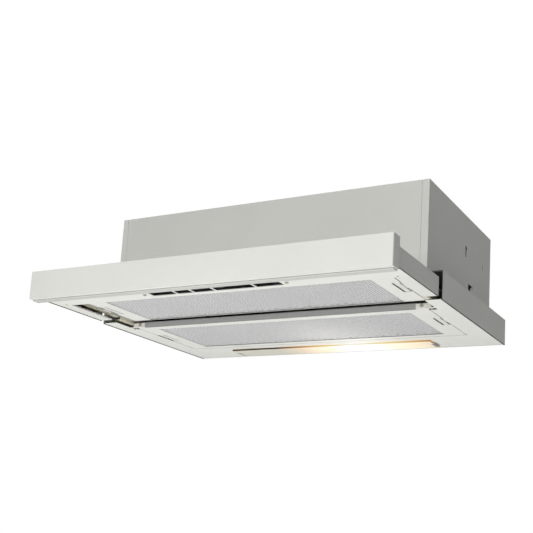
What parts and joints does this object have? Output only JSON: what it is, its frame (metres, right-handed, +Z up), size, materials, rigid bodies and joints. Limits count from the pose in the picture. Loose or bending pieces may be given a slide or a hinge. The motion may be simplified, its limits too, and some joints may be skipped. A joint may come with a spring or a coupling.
{
  "type": "pull-out range hood",
  "caption": "Slim range hood with a pull-out filter drawer, sheet steel housing, fan, duct collar and lamp, mounted inside a wall cabinet",
  "frame": {"origin": "on the axis of the duct, on the outer face of the housing top, in the middle of the cabinet screw pattern", "axes": "+X to the right when seen from the room, +Y to the wall, +Z up"},
  "size_m": [0.598, 0.488, 0.22],
  "materials": {
    "housing_paint": "satin grey enamel on sheet steel",
    "frame_paint": "satin grey enamel",
    "underside_paint": "smooth light grey enamel",
    "drawer_paint": "smooth light grey enamel",
    "fascia_paint": "semi-gloss silver-grey enamel",
    "grip_paint": "semi-gloss light grey enamel",
    "zinc": "yellow zinc plate",
    "bare_steel": "bright zinc plate",
    "filter_aluminium": "fine anodised aluminium",
    "filter_mat": "expanded aluminium foil",
    "latch_plastic": "moulded light grey plastic",
    "control_plastic": "black moulded plastic",
    "blower_plastic": "dark moulded plastic",
    "board": "green circuit board",
    "motor_metal": "die-cast aluminium",
    "mount_rubber": "black rubber",
    "capacitor_plastic": "light plastic can",
    "reflector": "bright reflector sheet",
    "ceramic": "white lamp holder",
    "bulb_glass": "frosted bulb glass",
    "lamp_lens": "frosted translucent plastic",
    "switch_plastic": "black switch body",
    "plunger_plastic": "red switch plunger"
  },
  "bodies": {
    "hood": {"housing_wrap": "housing_paint", "housing_front": "housing_paint", "housing_top": "housing_paint", "intake_plate": "bare_steel", "lower_frame": "frame_paint", "underside_plate": "underside_paint", "cross_rail": "frame_paint", "outer_rail_left": "zinc", "outer_rail_right": "zinc", "scroll_lower": "blower_plastic", "scroll_cover": "blower_plastic", "motor": "motor_metal", "motor_mounts": "mount_rubber", "capacitor": "capacitor_plastic", "terminal_box": "blower_plastic", "terminal_lid": "blower_plastic", "cable_gland": "blower_plastic", "duct_collar": "blower_plastic", "flap_pin": "bare_steel", "lamp_trough": "reflector", "lamp_holder": "ceramic", "lamp_bulb": "bulb_glass", "lamp_cover": "lamp_lens", "drawer_switch": "switch_plastic", "housing_screws": "bare_steel", "cross_rail_screws": "bare_steel", "collar_screws": "bare_steel"},
    "drawer": {"inner_rail_left": "zinc", "inner_rail_right": "zinc", "drawer_side_left": "drawer_paint", "drawer_side_right": "drawer_paint", "drawer_floor": "underside_paint", "drawer_top": "drawer_paint", "fascia": "fascia_paint", "grip_strip": "grip_paint", "control_box": "control_plastic", "control_board": "board", "fascia_screws": "bare_steel", "floor_screws": "bare_steel"},
    "cage_left": {"ball_cage_left": "bare_steel"},
    "cage_right": {"ball_cage_right": "bare_steel"},
    "speed_knob": {"speed_slider": "control_plastic"},
    "light_knob": {"light_slider": "control_plastic"},
    "front_panel": {"front_filter_frame": "filter_aluminium", "front_filter_mat": "filter_mat"},
    "rear_panel": {"rear_filter_frame": "filter_aluminium", "rear_filter_mat": "filter_mat"},
    "front_catch_left": {"front_latch_left": "latch_plastic"},
    "front_catch_right": {"front_latch_right": "latch_plastic"},
    "rear_catch_left": {"rear_latch_left": "latch_plastic"},
    "rear_catch_right": {"rear_latch_right": "latch_plastic"},
    "fan": {"impeller": "blower_plastic", "motor_shaft": "bare_steel", "shaft_nut": "bare_steel"},
    "front_flap": {"flap_front": "blower_plastic"},
    "rear_flap": {"flap_rear": "blower_plastic"},
    "plunger": {"switch_plunger": "plunger_plastic"}
  },
  "joints": [
    {"name": "drawer_slide", "type": "slide", "parent": "hood", "child": "drawer", "axis": [0, 1, 0], "range_m": [0, 0.15]},
    {"name": "cage_left_slide", "type": "slide", "parent": "hood", "child": "cage_left", "axis": [0, 1, 0], "range_m": [0, 0.075]},
    {"name": "cage_right_slide", "type": "slide", "parent": "hood", "child": "cage_right", "axis": [0, 1, 0], "range_m": [0, 0.075]},
    {"name": "speed_slide", "type": "slide", "parent": "drawer", "child": "speed_knob", "axis": [1, 0, 0], "range_m": [0, 0.048]},
    {"name": "light_slide", "type": "slide", "parent": "drawer", "child": "light_knob", "axis": [1, 0, 0], "range_m": [-0.012, 0]},
    {"name": "front_filter_hinge", "type": "hinge", "parent": "drawer", "child": "front_panel", "pos_m": [0, -0.2583, -0.1695], "axis": [1, 0, 0], "range_deg": [-60, 0]},
    {"name": "rear_filter_hinge", "type": "hinge", "parent": "hood", "child": "rear_panel", "pos_m": [0, 0.076, -0.18], "axis": [-1, 0, 0], "range_deg": [-70, 0]},
    {"name": "front_latch_left_slide", "type": "slide", "parent": "front_panel", "child": "front_catch_left", "axis": [-1, 0, 0], "range_m": [-0.004, 0], "stiffness_N_per_m": 200, "springref_m": 0.002},
    {"name": "front_latch_right_slide", "type": "slide", "parent": "front_panel", "child": "front_catch_right", "axis": [1, 0, 0], "range_m": [-0.004, 0], "stiffness_N_per_m": 200, "springref_m": 0.002},
    {"name": "rear_latch_left_slide", "type": "slide", "parent": "rear_panel", "child": "rear_catch_left", "axis": [-1, 0, 0], "range_m": [-0.004, 0], "stiffness_N_per_m": 200, "springref_m": 0.002},
    {"name": "rear_latch_right_slide", "type": "slide", "parent": "rear_panel", "child": "rear_catch_right", "axis": [1, 0, 0], "range_m": [-0.004, 0], "stiffness_N_per_m": 200, "springref_m": 0.002},
    {"name": "fan_spin", "type": "hinge", "parent": "hood", "child": "fan", "pos_m": [-0.1375, 0, -0.1], "axis": [0, 0, 1], "continuous": true},
    {"name": "front_flap_hinge", "type": "hinge", "parent": "hood", "child": "front_flap", "pos_m": [0, 0, 0.012], "axis": [-1, 0, 0], "range_deg": [0, 75]},
    {"name": "rear_flap_hinge", "type": "hinge", "parent": "hood", "child": "rear_flap", "pos_m": [0, 0, 0.012], "axis": [1, 0, 0], "range_deg": [0, 75]},
    {"name": "switch_press", "type": "slide", "parent": "hood", "child": "plunger", "axis": [0, 1, 0], "range_m": [0, 0.0025], "stiffness_N_per_m": 300, "springref_m": -0.002}
  ],
  "couplings": [
    {"joint": "cage_left_slide", "follows": "drawer_slide", "ratio": 0.5},
    {"joint": "cage_right_slide", "follows": "drawer_slide", "ratio": 0.5}
  ]
}
